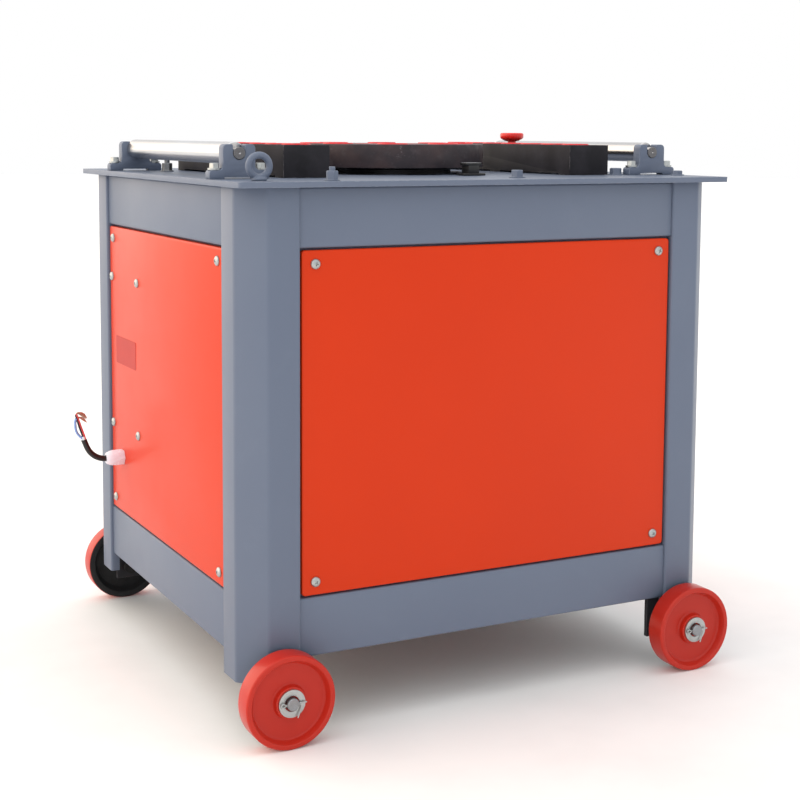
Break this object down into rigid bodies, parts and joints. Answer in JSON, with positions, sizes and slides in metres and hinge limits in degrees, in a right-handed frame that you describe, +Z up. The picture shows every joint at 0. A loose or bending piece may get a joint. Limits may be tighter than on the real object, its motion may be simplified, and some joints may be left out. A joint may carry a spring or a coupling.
{
  "type": "rebar bender",
  "caption": "Bench-height electric rebar bender: wheeled sheet-steel cabinet, turning pin-hole disc on the table, side hole blocks and feed rollers, geared motor drive inside.",
  "frame": {"origin": "on the floor, under the middle of the machine without its cable tail", "axes": "+Z up, the plain front panel faces -Y, the side with the cable gland faces -X"},
  "size_m": [0.9912, 0.916, 0.9543],
  "materials": {
    "slate_paint": "satin",
    "orange_paint": "gloss",
    "red_enamel": "gloss",
    "black_paint": "satin",
    "disc_steel": "oil-blackened",
    "bright_steel": "bright",
    "machined_steel": "machined",
    "cast_iron": "as cast, painted",
    "motor_paint": "satin",
    "belt_rubber": "matt",
    "white_nylon": "satin",
    "cable_sheath": "satin",
    "black_plastic": "satin",
    "red_plastic": "gloss"
  },
  "bodies": {
    "machine": {"post_front_left": "slate_paint", "post_front_right": "slate_paint", "post_rear_right": "slate_paint", "post_rear_left": "slate_paint", "top_rail_front": "slate_paint", "bottom_rail_front": "slate_paint", "top_rail_right": "slate_paint", "bottom_rail_right": "slate_paint", "top_rail_rear": "slate_paint", "bottom_rail_rear": "slate_paint", "top_rail_left": "slate_paint", "bottom_rail_left": "slate_paint", "panel_front": "orange_paint", "panel_right": "orange_paint", "panel_rear": "orange_paint", "panel_left": "orange_paint", "table_plate": "slate_paint", "wheel_axle_front_left": "machined_steel", "wheel_bracket_front_left": "black_paint", "wheel_axle_front_right": "machined_steel", "wheel_bracket_front_right": "black_paint", "wheel_axle_rear_left": "machined_steel", "wheel_bracket_rear_left": "black_paint", "wheel_axle_rear_right": "machined_steel", "wheel_bracket_rear_right": "black_paint", "hole_block_left": "black_paint", "hole_block_right": "black_paint", "roller_bracket_left_front": "slate_paint", "roller_bracket_left_rear": "slate_paint", "roller_bracket_right_front": "slate_paint", "roller_bracket_right_rear": "slate_paint", "lifting_eye_front_left": "slate_paint", "lifting_eye_rear_right": "slate_paint", "gearbox_housing": "cast_iron", "gearbox_cover": "black_paint", "drive_belt": "belt_rubber", "motor_mount": "slate_paint", "motor_housing": "motor_paint", "electrical_box": "slate_paint", "cable_gland": "white_nylon", "supply_cable": "cable_sheath", "stop_button_box": "black_plastic", "limit_switch": "black_plastic"},
    "disc_assembly": {"working_disc": "disc_steel", "main_shaft": "machined_steel", "main_gear": "machined_steel"},
    "layshaft_assembly": {"layshaft": "machined_steel", "layshaft_gear": "machined_steel"},
    "input_assembly": {"input_shaft": "machined_steel", "driven_pulley": "cast_iron"},
    "motor_rotor": {"motor_shaft": "machined_steel", "motor_pulley": "cast_iron"},
    "roller_left": {"feed_roller_left": "bright_steel"},
    "roller_right": {"feed_roller_right": "bright_steel"},
    "stop_button": {"stop_button": "red_plastic"},
    "limit_plunger": {"limit_plunger": "machined_steel"},
    "wheel_front_left": {"wheel_front_left": "red_enamel"},
    "wheel_front_right": {"wheel_front_right": "red_enamel"},
    "wheel_rear_left": {"wheel_rear_left": "red_enamel"},
    "wheel_rear_right": {"wheel_rear_right": "red_enamel"}
  },
  "joints": [
    {"name": "disc_spin", "type": "hinge", "parent": "machine", "child": "disc_assembly", "pos_m": [0.007, 0.005, 0.879], "axis": [0, 0, 1], "continuous": true},
    {"name": "layshaft_spin", "type": "hinge", "parent": "machine", "child": "layshaft_assembly", "pos_m": [-0.143, 0.1296, 0.8], "axis": [0, 0, 1], "continuous": true},
    {"name": "input_spin", "type": "hinge", "parent": "machine", "child": "input_assembly", "pos_m": [-0.18909, 0.00298, 0.75], "axis": [0, 0, 1], "continuous": true},
    {"name": "motor_spin", "type": "hinge", "parent": "machine", "child": "motor_rotor", "pos_m": [0.077, -0.105, 0.66], "axis": [0, 0, 1], "continuous": true},
    {"name": "roller_left_spin", "type": "hinge", "parent": "machine", "child": "roller_left", "pos_m": [-0.397, 0.005, 0.92], "axis": [0, 1, 0], "continuous": true},
    {"name": "roller_right_spin", "type": "hinge", "parent": "machine", "child": "roller_right", "pos_m": [0.411, 0.005, 0.92], "axis": [0, 1, 0], "continuous": true},
    {"name": "wheel_front_left_spin", "type": "hinge", "parent": "machine", "child": "wheel_front_left", "pos_m": [-0.383, -0.431, 0.075], "axis": [0, 1, 0], "continuous": true},
    {"name": "wheel_front_right_spin", "type": "hinge", "parent": "machine", "child": "wheel_front_right", "pos_m": [0.397, -0.431, 0.075], "axis": [0, 1, 0], "continuous": true},
    {"name": "wheel_rear_left_spin", "type": "hinge", "parent": "machine", "child": "wheel_rear_left", "pos_m": [-0.383, 0.431, 0.075], "axis": [0, 1, 0], "continuous": true},
    {"name": "wheel_rear_right_spin", "type": "hinge", "parent": "machine", "child": "wheel_rear_right", "pos_m": [0.397, 0.431, 0.075], "axis": [0, 1, 0], "continuous": true},
    {"name": "stop_button_press", "type": "slide", "parent": "machine", "child": "stop_button", "axis": [0, 0, 1], "range_m": [-0.005, 0], "stiffness_N_per_m": 1500, "springref_m": 0.002},
    {"name": "limit_plunger_press", "type": "slide", "parent": "machine", "child": "limit_plunger", "axis": [0, 1, 0], "range_m": [-0.004, 0], "stiffness_N_per_m": 500, "springref_m": 0.002}
  ],
  "couplings": [
    {"joint": "layshaft_spin", "follows": "disc_spin", "ratio": -5},
    {"joint": "input_spin", "follows": "disc_spin", "ratio": 22.5},
    {"joint": "motor_spin", "follows": "disc_spin", "ratio": 67.5}
  ]
}
